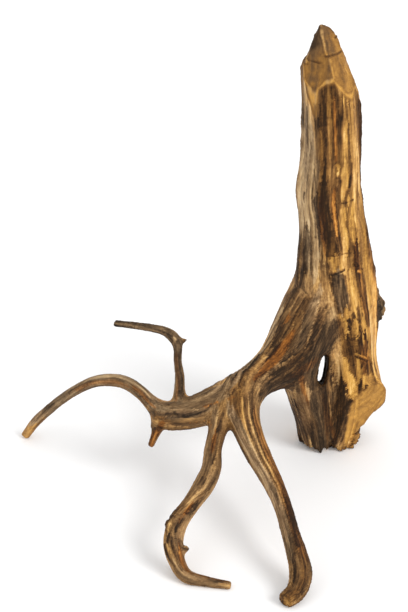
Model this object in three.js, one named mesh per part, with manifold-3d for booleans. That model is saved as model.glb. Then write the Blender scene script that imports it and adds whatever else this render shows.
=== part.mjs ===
// A piece of driftwood: the stump of a young tree, stripped of its bark and worn, with the roots of one side.
// It stands on its broken base, two front roots and the tip of the left root.
// Millimetres, +Z up, -Y is the front. The origin is the middle of the base, on the surface it stands on.
import * as THREE from "three";
import { mergeVertices } from "three/addons/utils/BufferGeometryUtils.js";
import Module from "manifold-3d";

const wasm = await Module();
wasm.setup();

// Driving dimensions
const STEM_TOP = 470; // where the stem ends before its tip is hewn
const RING_STEP = 12; // along a limb, between its rings of vertices
const FLUTE_DEPTH = 0.05; // of the radius, for the soft flutes round a limb
const HEWN_FROM = 330; // no facet of the tip reaches below this height
// The saw's cut through the sawn root, up to its top, and the box in front on the right that it stays in.
const SAWN_FACE = { point: [34, -21.5, 58], normal: [0.45, -0.88, -0.12], top: 95 };
const SAWN_BOX = { size: [110, 110, 200], centre: [60, -50, 40] };
// What broke away under the sawn root, down to its bottom, and beside the broken base, up to its top.
const UNDERCUT = { point: [36, -30, 39.5], normal: [0.73, -0.05, -0.68], bottom: 21 };
const SPLIT_SIDE = { point: [26, -30, 10], normal: [0.97, -0.1, -0.12], top: 27 };
const BROKEN_BOX = { size: [110, 140, 200], centre: [60, 0, -20] }; // what both of those stay in
const HOLE = { point: [-14.5, -29, 104], width: 7.6, height: 30, through: 150, turn: -7 };
const CAMBER = THREE.MathUtils.degToRad(30); // the hole falls towards the back by this angle
const BASE_PAD = { x: 2, y: 3, width: 40, depth: 26 }; // the worn flat in the middle of the broken base
const TEETH = 26; // round the broken base, every second one a gap
const TOOTH_HEIGHT = 7; // of the broken base's rim
const BASE_RADIUS = 27.5; // where the teeth have that height
const RIM_REACH = 66; // how far out the teeth's ridges are drawn, beyond the base's edge
const RIM_DEPTH = 30; // how far under the ground the wedge that cuts them reaches
const CUT_WIDTH = 400; // of the block that a plane cut takes off at the tip or the sawn face
const GROUND_WIDTH = 1000; // wider than the whole piece

// Each limb's line runs through its stations, [x, y, z, half width, half depth].
// The half width is square to both the line and the limb's front; the half depth is along its front.
const LIMBS = {
  stem: {
    front: [0, -1, 0],
    sides: 28,
    flutes: 5,
    stations: [
      [9, 2, -4, 24, 23],
      [17, 0, 30, 29, 27],
      [19, 0, 62, 31, 28],
      [17, 1, 97, 25, 25],
      [11, 2, 133, 29.5, 28],
      [2.5, 2, 168, 35.5, 31],
      [-3, 1, 200, 36.5, 32],
      [-6, 0, 222, 35, 31],
      [-8, 0, 245, 32, 30],
      [-11, 0, 268, 30.5, 29.5],
      [-13.5, 0, 290, 30.5, 29],
      [-13, 0, 312, 28.5, 28],
      [-13, 0, 335, 27.3, 27],
      [-15, 0, 373, 26.3, 26],
      [-17, 0, 400, 26, 25.5],
      [-19, 0, 435, 25.5, 25],
      [-20, 0, STEM_TOP, 25, 25],
    ],
  },
  taproot: {
    front: [0, -1, 0],
    sides: 20,
    flutes: 3,
    stations: [
      [-10, 4, 200, 14, 16],
      [-22, -1, 160, 24, 25.5],
      [-33, -9, 125, 22.5, 28.5],
      [-34, -9, 95, 18, 26],
      [-27.5, -5, 62, 17, 22.5],
      [-20.5, -2, 34, 16, 21],
      [-13, 0, -4, 16, 20],
    ],
  },
  web: {
    front: [0, -1, 0],
    sides: 16,
    flutes: 3,
    stations: [
      [-6, 3, 200, 14, 22],
      [-12, 0, 165, 16, 27],
      [-16, -1, 130, 16, 27.5],
      [-14, 0, 97, 13, 24],
      [-10, 1, 60, 12, 22],
      [-8, 1, 30, 12, 21],
      [-6, 1, -4, 12, 20],
    ],
  },
  sawn_root: {
    front: [0.5, 0, 0.87],
    sides: 20,
    flutes: 3,
    stations: [
      [6, 8, 65, 16, 26],
      [23, -8, 61.5, 18.5, 26],
      [38, -26, 57, 18, 22.5],
      [52, -46, 53, 18, 22.5],
    ],
  },
  main_root: {
    front: [0, -0.5, 0.87],
    sides: 20,
    flutes: 4,
    stations: [
      [-15, 0, 207, 17, 17],
      [-22, -4, 174, 24, 22.5],
      [-37, -14, 143, 25, 25],
      [-59, -29, 118, 20.5, 25],
      [-82, -45, 104, 16, 21],
      [-106, -60, 92, 17, 18.5],
      [-126, -72, 89.5, 16, 16],
      [-147, -80, 86.5, 13, 13],
      [-165, -82, 84.5, 11.7, 11.7],
      [-178, -80.5, 86, 9.8, 9.8],
    ],
  },
  left_root: {
    front: [0, -0.5, 0.87],
    sides: 14,
    flutes: 3,
    stations: [
      [-165, -82, 84.5, 11, 11],
      [-176, -81, 87, 9.5, 9.5],
      [-185.5, -76.5, 94.5, 7.5, 7.5],
      [-196.5, -68, 102.5, 6.7, 6.7],
      [-214, -58, 108.5, 6.3, 6.3],
      [-236, -47, 103, 5.9, 5.9],
      [-252.5, -36, 90.5, 5.4, 5.4],
      [-272.5, -24, 70.5, 5, 5],
      [-292, -12, 46.5, 4.9, 4.9],
      [-310, -2, 22, 5, 5],
      [-321.5, 4, 2, 4.8, 4.8],
    ],
  },
  back_branch: {
    front: [0, -1, 0],
    sides: 12,
    flutes: 3,
    stations: [
      [-158, -76, 84, 7.5, 7.5],
      [-158.5, -68, 101, 5.8, 6],
      [-158, -61, 116, 4.8, 5],
      [-160, -54, 131, 3.9, 4.2],
      [-160, -47, 143, 4.6, 4.6],
      [-164, -42, 150, 5.6, 5.2],
      [-172, -36, 153, 4.6, 4.6],
      [-184, -29, 152.5, 3.8, 3.9],
      [-203, -18, 149, 3.2, 3.4],
      [-223, -5, 144, 2.8, 3],
    ],
  },
  branch_nub: {
    front: [0, -1, 0],
    sides: 8,
    flutes: 0,
    stations: [
      [-161, -44, 147, 4, 4],
      [-155, -44, 147, 2.6, 2.6],
      [-151, -44, 148.5, 1.1, 1.1],
    ],
  },
  snag: {
    front: [0, -1, 0],
    sides: 10,
    flutes: 0,
    stations: [
      [-172, -82, 90, 8.5, 8],
      [-178, -83, 76, 5.4, 5.5],
      [-181, -84, 66, 4.2, 4.4],
      [-186.5, -84, 50, 3, 3.2],
    ],
  },
  crooked_leg: {
    front: [0, -0.5, 0.87],
    sides: 16,
    flutes: 3,
    stations: [
      [-106, -62, 98, 13, 13],
      [-114, -84, 91, 11, 11],
      [-120, -101, 81, 8.6, 9],
      [-125, -121, 71, 8.2, 8.5],
      [-127, -140, 61, 9.2, 9.2],
      [-135, -158, 53, 9.8, 9.6],
      [-147, -177, 46, 8.4, 8.8],
      [-159, -195, 38, 9.4, 9.4],
      [-163, -210, 28, 9.6, 9.6],
      [-159, -223, 15, 8, 8],
      [-150, -233, 7, 6.8, 6.6],
      [-133, -238, 5, 5.2, 5.2],
      [-109, -243, 3.6, 3.9, 4],
    ],
  },
  leg_spur: {
    front: [0, 0, 1],
    sides: 8,
    flutes: 0,
    stations: [
      [-157, -216, 23, 4.5, 4.5],
      [-151, -215, 24, 2.8, 3.4],
      [-148, -214, 25.5, 1.9, 2.6],
    ],
  },
  long_leg: {
    front: [0, -0.5, 0.87],
    sides: 18,
    flutes: 3,
    stations: [
      [-92, -58, 101, 16.5, 18],
      [-95, -82, 94, 14.8, 16],
      [-91.5, -104, 83, 13, 14],
      [-80.5, -130, 69, 11.2, 11.4],
      [-69, -155, 59, 9.6, 10],
      [-60.5, -182, 50.5, 8.2, 8.8],
      [-55, -208, 41, 7.8, 8.6],
      [-49.5, -228, 31, 8.8, 9],
      [-45.5, -245, 19.5, 9.8, 9.6],
      [-49, -257, 10, 8.6, 8.8],
      [-57, -265, 6.4, 7, 7],
    ],
  },
  bark_knob: {
    front: [0, -1, 0],
    sides: 10,
    flutes: 2,
    stations: [
      [31, 15, 176, 5, 7],
      [37, 16, 164, 7, 8],
      [41, 17, 153, 8.5, 9],
      [39.5, 18, 143, 8, 9],
      [35.5, 18, 131, 6.5, 8],
      [31.5, 18, 119, 4, 6],
    ],
  },
};

// The hewn facets of the tip. Each is a plane: facing is the way that it looks in plan, in degrees from the
// front towards the right; lean is its angle from upright; foot is the height at which it would leave the
// stem's surface. A facet with a ledge stops there, where the next blow of the hatchet ended.
const FACETS = [
  { facing: 53, lean: 24, foot: 399 },
  { facing: 92, lean: 22.5, foot: 397 },
  { facing: -40, lean: 15, foot: 408 },
  { facing: -92, lean: 8, foot: 425 },
  { facing: -48, lean: 16, foot: 408, ledge: 426 },
  { facing: -95, lean: 18, foot: 415, ledge: 422 },
  { facing: 38, lean: 29, foot: 409, ledge: 433 },
  { facing: 95, lean: 31, foot: 415, ledge: 446 },
  { facing: 165, lean: 27, foot: 405 },
  { facing: -150, lean: 24.6, foot: 412 },
];
const TIP_AXIS = new THREE.Vector3(-18, 0, 0); // the facets are set out round this upright line
const TIP_RADIUS = 25.5;
const TIP_TOP = 459.5; // where the very point is worn away

const vector = ([x, y, z]) => new THREE.Vector3(x, y, z);

// A limb's line with its length, and at each share of it the two radii and the frame that they lie along.
function limbLine({ front, stations }) {
  const curve = (rows) => new THREE.CatmullRomCurve3(rows.map(vector), false, "catmullrom", 0.5);
  const line = curve(stations);
  const radii = curve(stations.map(([, , , width, depth]) => [width, depth, 0]));
  const at = (share) => {
    const along = line.getTangent(share);
    const ahead = vector(front).addScaledVector(along, -vector(front).dot(along)).normalize();
    const { x: width, y: depth } = radii.getPoint(share);
    return { centre: line.getPoint(share), ahead, side: along.clone().cross(ahead), width, depth };
  };
  return { length: line.getLength(), at };
}

// The vertices of one ring round a limb.
function ringOf({ centre, ahead, side, width, depth }, { sides, flutes }, distance) {
  return Array.from({ length: sides }, (_, i) => {
    const angle = (i / sides) * 2 * Math.PI;
    const flute = 1 + FLUTE_DEPTH * Math.cos(flutes * angle + distance / 40) * Math.sign(flutes);
    return centre
      .clone()
      .addScaledVector(ahead, depth * flute * Math.cos(angle))
      .addScaledVector(side, width * flute * Math.sin(angle));
  });
}

// A limb as a closed geometry: rings along its line, joined by triangles, with a fan on each end.
function limbGeometry(limb) {
  const line = limbLine(limb);
  const rings = Math.ceil(line.length / RING_STEP) + 1;
  const points = [];
  const faces = [];
  for (let ring = 0; ring < rings; ring++) {
    const share = ring / (rings - 1);
    points.push(...ringOf(line.at(share), limb, share * line.length));
  }
  const { sides } = limb;
  for (let ring = 0; ring < rings - 1; ring++) {
    for (let i = 0; i < sides; i++) {
      const [a, b] = [ring * sides + i, ring * sides + ((i + 1) % sides)];
      faces.push(a, b, b + sides, a, b + sides, a + sides);
    }
  }
  const [first, last] = [points.length, points.length + 1];
  points.push(line.at(0).centre, line.at(1).centre);
  for (let i = 0; i < sides; i++) {
    const [next, end] = [(i + 1) % sides, (rings - 1) * sides];
    faces.push(first, next, i, last, end + i, end + next);
  }
  return new THREE.BufferGeometry().setFromPoints(points).setIndex(faces);
}

// A closed geometry as a manifold-3d solid.
function solid(geometry) {
  const bare = geometry.clone();
  bare.deleteAttribute("normal");
  bare.deleteAttribute("uv");
  const merged = mergeVertices(bare, 1e-4);
  return new wasm.Manifold(
    new wasm.Mesh({
      numProp: 3,
      vertProperties: new Float32Array(merged.attributes.position.array),
      triVerts: new Uint32Array(merged.index.array),
    }),
  );
}

// The half space beyond a plane, as a box, for cutting off what lies there.
function beyond(point, normal, width = CUT_WIDTH) {
  const box = new THREE.BoxGeometry(width, width, width).translate(0, 0, width / 2);
  const up = new THREE.Vector3(0, 0, 1);
  const turn = new THREE.Quaternion().setFromUnitVectors(up, normal.clone().normalize());
  return solid(box.applyQuaternion(turn).translate(...point.toArray()));
}

// All that is above a height.
const above = (height) => beyond(new THREE.Vector3(0, 0, height), new THREE.Vector3(0, 0, 1));

// What is beyond one hewn facet, down to its ledge.
function beyondFacet({ facing, lean, foot, ledge = HEWN_FROM }) {
  const [turn, tilt] = [facing, lean].map(THREE.MathUtils.degToRad);
  const outward = new THREE.Vector3(Math.sin(turn), -Math.cos(turn), 0);
  const normal = outward.clone().multiplyScalar(Math.cos(tilt)).setZ(Math.sin(tilt));
  const point = TIP_AXIS.clone().addScaledVector(outward, TIP_RADIUS).setZ(foot);
  return beyond(point, normal).intersect(above(ledge));
}

// The slot between the stem and the taproot: an ellipse extruded from the front, falling to the back.
function holeSolid() {
  const ellipse = new THREE.Shape().absellipse(0, 0, HOLE.width / 2, HOLE.height / 2, 0, 2 * Math.PI);
  const extrusion = { depth: HOLE.through, bevelEnabled: false, curveSegments: 8 };
  const slot = new THREE.ExtrudeGeometry(ellipse, extrusion);
  slot.translate(0, 0, -HOLE.through / 2).rotateZ(THREE.MathUtils.degToRad(HOLE.turn));
  slot.rotateX(Math.PI / 2 - CAMBER).translate(...HOLE.point);
  return solid(slot);
}

// What is missing under the broken base: a saw-toothed wedge round the worn pad, open to every side.
// The sines make the teeth and the gaps uneven.
function underBase() {
  const outline = (index, radius) => {
    const angle = (index / TEETH) * 2 * Math.PI;
    return new THREE.Vector3(BASE_PAD.x + radius * Math.cos(angle), BASE_PAD.y + radius * Math.sin(angle), 0);
  };
  const points = [new THREE.Vector3(BASE_PAD.x, BASE_PAD.y, -RIM_DEPTH)];
  const faces = [];
  for (let i = 0; i < TEETH; i++) {
    const angle = (i / TEETH) * 2 * Math.PI;
    const pad = Math.hypot((BASE_PAD.width / 2) * Math.cos(angle), (BASE_PAD.depth / 2) * Math.sin(angle));
    const rise = i % 2 ? TOOTH_HEIGHT * (0.7 + 0.3 * Math.sin(i * 2.3)) : 0.6 + Math.sin(i * 1.7) ** 2;
    points.push(outline(i, pad).setZ(-1));
    const edge = outline(i, RIM_REACH);
    points.push(edge.clone().setZ((rise * RIM_REACH) / BASE_RADIUS), edge.setZ(-RIM_DEPTH));
  }
  for (let i = 0; i < TEETH; i++) {
    const [a, b] = [1 + 3 * i, 1 + 3 * ((i + 1) % TEETH)];
    faces.push(0, a, b, a, b + 1, b, a, a + 1, b + 1);
    faces.push(a + 1, b + 2, b + 1, a + 1, a + 2, b + 2, 0, b + 2, a + 2);
  }
  return solid(new THREE.BufferGeometry().setFromPoints(points).setIndex(faces));
}

// A manifold-3d solid as a three.js geometry.
function geometryOf(made) {
  const { vertProperties, triVerts } = made.getMesh();
  return new THREE.BufferGeometry()
    .setAttribute("position", new THREE.BufferAttribute(vertProperties, 3))
    .setIndex(new THREE.BufferAttribute(triVerts, 1));
}

// What the saw and the break took off the right side of the base, in front and below.
function sideCuts() {
  const cut = ({ point, normal }) => beyond(vector(point), vector(normal));
  const box = ({ size, centre }) => solid(new THREE.BoxGeometry(...size).translate(...centre));
  const sawn = cut(SAWN_FACE).subtract(above(SAWN_FACE.top)).intersect(box(SAWN_BOX));
  const undercut = cut(UNDERCUT).intersect(above(UNDERCUT.bottom)).intersect(box(BROKEN_BOX));
  const split = cut(SPLIT_SIDE).subtract(above(SPLIT_SIDE.top)).intersect(box(BROKEN_BOX));
  return [sawn, undercut, split];
}

function driftwoodSolid() {
  const limbs = Object.values(LIMBS).map((limb) => solid(limbGeometry(limb)));
  const grown = limbs.reduce((whole, limb) => whole.add(limb));
  const ground = beyond(new THREE.Vector3(), new THREE.Vector3(0, 0, -1), GROUND_WIDTH);
  const cuts = [ground, ...sideCuts(), holeSolid(), underBase(), ...FACETS.map(beyondFacet), above(TIP_TOP)];
  return cuts.reduce((whole, cut) => whole.subtract(cut), grown);
}

const group = new THREE.Group();
const wood = new THREE.MeshStandardMaterial({ color: 0x8a6238, roughness: 0.75, metalness: 0 });
const driftwood = new THREE.Mesh(geometryOf(driftwoodSolid()), wood);
driftwood.name = "driftwood";
group.add(driftwood);

export default group;
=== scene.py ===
"""A piece of driftwood in Blender: one worn wooden body, grown from the limbs of the CAD model.

The limbs are added up in a fine distance field. The tip, the base, the slot and the sawn face are cut from
it, and the surface is taken from the field. Fibres then run over that surface along the limbs, carve its
grooves and colour it. Lengths are in millimetres until the mesh is made.
"""
import math
from collections import namedtuple

import bpy
import numpy as np
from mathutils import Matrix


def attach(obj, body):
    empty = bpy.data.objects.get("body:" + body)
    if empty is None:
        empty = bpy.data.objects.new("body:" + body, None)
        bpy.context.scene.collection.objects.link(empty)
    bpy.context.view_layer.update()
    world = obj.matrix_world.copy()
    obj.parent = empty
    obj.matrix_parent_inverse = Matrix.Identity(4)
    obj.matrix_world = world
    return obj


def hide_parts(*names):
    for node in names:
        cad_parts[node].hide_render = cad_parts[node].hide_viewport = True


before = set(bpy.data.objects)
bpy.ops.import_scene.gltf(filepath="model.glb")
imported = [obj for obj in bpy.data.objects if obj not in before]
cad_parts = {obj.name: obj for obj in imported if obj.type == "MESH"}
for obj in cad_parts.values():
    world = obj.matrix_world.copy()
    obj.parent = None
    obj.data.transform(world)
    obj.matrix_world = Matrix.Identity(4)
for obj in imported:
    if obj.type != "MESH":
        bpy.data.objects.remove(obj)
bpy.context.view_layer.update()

import openvdb
from mathutils import Vector

VOXEL = 1.3
BAND = 7.0  # how far from the surface the field is kept
MARGIN = 8.0  # round the limbs, to the edge of the field
LINE_STEP = 3.0  # between the samples of a limb's line

# Each limb's line runs through its stations, [x, y, z, half width, half depth], as in the CAD model. front
# is the way that the half depth lies; blend is the width of the fillet where the limb joins; flutes are
# [count, share, turn].
LIMBS = {
    "stem": dict(front=(0, -1, 0), blend=10, flutes=[(5, 0.05, 0.3), (9, 0.022, 1.1)], stations=[
        (9, 2, -4, 24, 23), (17, 0, 30, 29, 27), (19, 0, 62, 31, 28), (17, 1, 97, 25, 25),
        (11, 2, 133, 29.5, 28), (2.5, 2, 168, 34.5, 31), (-3, 1, 200, 35, 32), (-6, 0, 222, 33.8, 31),
        (-8, 0, 245, 31.2, 30), (-11, 0, 268, 29.8, 29), (-13.5, 0, 290, 30.2, 29), (-13, 0, 312, 28.5, 28),
        (-13, 0, 335, 27.3, 27), (-15, 0, 373, 26.3, 26), (-17, 0, 400, 26, 25.5), (-19, 0, 435, 25.5, 25),
        (-20, 0, 470, 25, 25),
    ]),
    "taproot": dict(front=(0, -1, 0), blend=22, flutes=[(3, 0.06, 0.8)], stations=[
        (-10, 4, 200, 14, 16), (-22, -1, 160, 23, 26), (-33, -10, 125, 22, 30), (-34, -11, 95, 18, 28),
        (-27.5, -5, 62, 17, 23), (-20.5, -2, 34, 16, 21), (-13, 0, -4, 16, 20),
    ]),
    "sawn_root": dict(front=(0.5, 0, 0.87), blend=9, flutes=[(3, 0.05, 0.5)], stations=[
        (6, 8, 65, 16, 26), (23, -8, 61.5, 18.5, 26), (38, -26, 57, 18, 22.5), (52, -46, 53, 18, 22.5),
    ]),
    "web": dict(front=(0, -1, 0), blend=14, flutes=[(3, 0.03, 0.8)], stations=[
        (-6, 3, 200, 14, 22), (-12, 0, 165, 16, 27), (-16, -1, 130, 16, 27.5), (-14, 0, 97, 13, 24),
        (-10, 1, 60, 12, 22), (-8, 1, 30, 12, 21), (-6, 1, -4, 12, 20),
    ]),
    "main_root": dict(front=(0, -0.5, 0.87), blend=20, flutes=[(4, 0.05, 0.4), (7, 0.03, 1.0)], stations=[
        (-13, 0, 208, 16, 16), (-20, -3, 174, 22, 21), (-35, -13, 143, 23, 24), (-57, -29, 117, 19, 24),
        (-81, -45, 103.5, 15, 20.5), (-106, -60, 91.5, 16, 17.5), (-126, -72, 89.5, 15, 15),
        (-147, -80, 86.5, 12.3, 12.3), (-165, -82, 84.5, 11, 11), (-178, -80.5, 86, 9.2, 9.2),
    ]),
    "left_root": dict(front=(0, -0.5, 0.87), blend=6, flutes=[(3, 0.05, 0.2)], stations=[
        (-165, -82, 84.5, 10.5, 10.5), (-176, -81, 87, 9, 9), (-185.5, -76.5, 94.5, 7.2, 7.2),
        (-196.5, -68, 102.5, 6.7, 6.7), (-214, -58, 108.5, 6.3, 6.3), (-236, -47, 103, 5.9, 5.9),
        (-252.5, -36, 90.5, 5.4, 5.4), (-272.5, -24, 70.5, 5, 5), (-292, -12, 46.5, 4.9, 4.9),
        (-310, -2, 22, 5, 5), (-321.5, 4, 2, 4.8, 4.8),
    ]),
    "back_branch": dict(front=(0, -1, 0), blend=6, flutes=[(3, 0.05, 0.7)], stations=[
        (-158, -76, 84, 7.5, 7.5), (-158.5, -68, 101, 5.8, 6), (-158, -61, 116, 4.8, 5),
        (-160, -54, 131, 3.9, 4.2), (-160, -47, 143, 4.6, 4.6), (-164, -42, 150, 5.6, 5.2),
        (-172, -36, 153, 4.6, 4.6), (-184, -29, 152.5, 3.8, 3.9), (-203, -18, 149, 3.2, 3.4),
        (-223, -5, 144, 2.8, 3),
    ]),
    "branch_nub": dict(front=(0, -1, 0), blend=3, flutes=[], stations=[
        (-161, -44, 147, 4, 4), (-155, -44, 147, 2.6, 2.6), (-151, -44, 148.5, 1.1, 1.1),
    ]),
    "snag": dict(front=(0, -1, 0), blend=7, flutes=[(4, 0.12, 0.6)], stations=[
        (-172, -82, 90, 8.5, 8), (-178, -83, 76, 5.4, 5.5), (-181, -84, 66, 4.2, 4.4),
        (-186.5, -84, 50, 3, 3.2),
    ]),
    "crooked_leg": dict(front=(0, -0.5, 0.87), blend=9, flutes=[(3, 0.07, 0.9)], stations=[
        (-106, -62, 98, 13, 13), (-114, -84, 91, 11, 11), (-120, -101, 81, 8.6, 9),
        (-125, -121, 71, 8.2, 8.5), (-127, -140, 61, 9.2, 9.2), (-135, -158, 53, 9.8, 9.6),
        (-147, -177, 46, 8.4, 8.8), (-159, -195, 38, 9.4, 9.4), (-163, -210, 28, 9.6, 9.6),
        (-159, -223, 15, 8, 8), (-150, -233, 7, 6.8, 6.6), (-133, -238, 5, 5.2, 5.2),
        (-109, -243, 3.6, 3.9, 4),
    ]),
    "leg_spur": dict(front=(0, 0, 1), blend=4, flutes=[], stations=[
        (-157, -216, 23, 4.5, 4.5), (-151, -215, 24, 2.8, 3.4), (-148, -214, 25.5, 1.9, 2.6),
    ]),
    "long_leg": dict(front=(0, -0.5, 0.87), blend=10, flutes=[(5, 0.06, 0.9)], stations=[
        (-92, -58, 101, 16.5, 18), (-95, -82, 94, 14.8, 16), (-91.5, -104, 83, 13, 14),
        (-80.5, -130, 69, 11.2, 11.4), (-69, -155, 59, 9.6, 10), (-60.5, -182, 50.5, 8.2, 8.8),
        (-55, -208, 41, 7.8, 8.6), (-49.5, -228, 31, 8.8, 9), (-45.5, -245, 19.5, 9.8, 9.6),
        (-49.5, -257.5, 10, 8.6, 8.8), (-60, -267.5, 6, 6.8, 6.8),
    ]),
    "bark_knob": dict(front=(0, -1, 0), blend=4, flutes=[(4, 0.1, 0.2)], stations=[
        (31, 15, 176, 5, 7), (37, 16, 164, 6.5, 8), (40.5, 17, 153, 8, 9), (39.5, 18, 143, 7.5, 9),
        (35, 18, 131, 6, 8), (31, 18, 119, 4, 6),
    ]),
}

# The planes that the hatchet left. facing is the way that a plane looks in plan, in degrees from the front;
# lean is its angle from upright; foot is where it would leave the stem; bottom is the ledge where the blow
# stopped; bite is the depth of the hollow over its foot; tone is its lightness, the same for planes that
# one run of blows made, with painted light and shade on it: paler on the planes turned to the right, towards
# the light, and darker on those turned to the left.
Facet = namedtuple("Facet", "facing lean foot bottom bite tone")
TIP_AXIS = np.array([-18.0, 0.0, 0.0])
TIP_RADIUS = 25.5
HEWN_FROM = 330  # no facet reaches below this height, so it is the bottom of a facet without a ledge
FACETS = [
    Facet(53, 24, 399, HEWN_FROM, 0, 0.56), Facet(92, 22.5, 397, HEWN_FROM, 0, 0.56),
    Facet(-38, 4, 404, HEWN_FROM, 7.5, 0.42), Facet(-92, 8, 425, HEWN_FROM, 0, 0.42),
    Facet(-48, 16, 407, 426, 0, 0.28), Facet(-95, 18, 414, 422, 0, 0.28), Facet(38, 29, 409, 433, 0, 0.44),
    Facet(95, 31, 415, 446, 0, 0.44), Facet(-95, 26, 428, 448, 0, 0.28),
    Facet(165, 27, 405, HEWN_FROM, 0, 0.50), Facet(-150, 24.6, 412, HEWN_FROM, 0, 0.42),
]

# The other planes, each with two corners of the box that it stays in. ripple is how uneven the plane is,
# size is how far apart its bumps are and edge is how round its edge is.
Cut = namedtuple("Cut", "low high point normal ripple seed size edge")
WORN_TOP = Cut((-60, -45, 450), (30, 45, 480), (-26, 0, 459.3), (0, 0.1, 1), 0.8, 19, 11, 3)
SAWN_FACE = Cut((5, -70, 0), (80, 0, 110), (34, -21.5, 58), (0.45, -0.88, -0.12), 0.3, 20, 11, 1)
UNDERCUT = Cut((5, -70, 21), (90, 60, 75), (36, -30, 39.5), (0.73, -0.05, -0.68), 1.6, 21, 7, 1)
SPLIT_SIDE = Cut((5, -70, -10), (90, 60, 27), (23.5, -30, 10), (0.97, -0.1, -0.12), 1.2, 22, 7, 1)

# The slot between the stem and the taproot. It falls by an angle towards the back and leans a little to the
# right.
SLOT_POINT = np.array([-14.5, -29.0, 104.0])
SLOT_HALF_WIDTH = 5.2
SLOT_HALF_HEIGHT = 16.5
SLOT_FALL = math.radians(30)
SLOT_LEAN = 0.12

# The worn pad in the middle of the broken base, and the splinters round it.
PAD_X, PAD_Y = 2, 3
PAD_HALF_WIDTH, PAD_HALF_DEPTH = 22, 14
LONG_SPLINTERS, SHORT_SPLINTERS = 9, 6

# The boxes, by two corners, that the other cuts stay in.
SLOT_BOX = ((-50, -60, 40), (30, 60, 170))
BASE_BOX = ((-60, -45, -10), (70, 60, 25))
GROUND_BOX = ((-400, -400, -20), (200, 200, 12))

THICK_LIMBS = ("stem", "taproot", "sawn_root", "main_root")  # their bands and grooves are stronger
ON_PLANE = 1.8  # how near a facet's plane a vertex is when it lies on it
FAR = 99  # stands for not near at all
SAWN_TONE = 0.65
GRAIN_SHIFT = 500  # between the grain of one limb and that of the next
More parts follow.
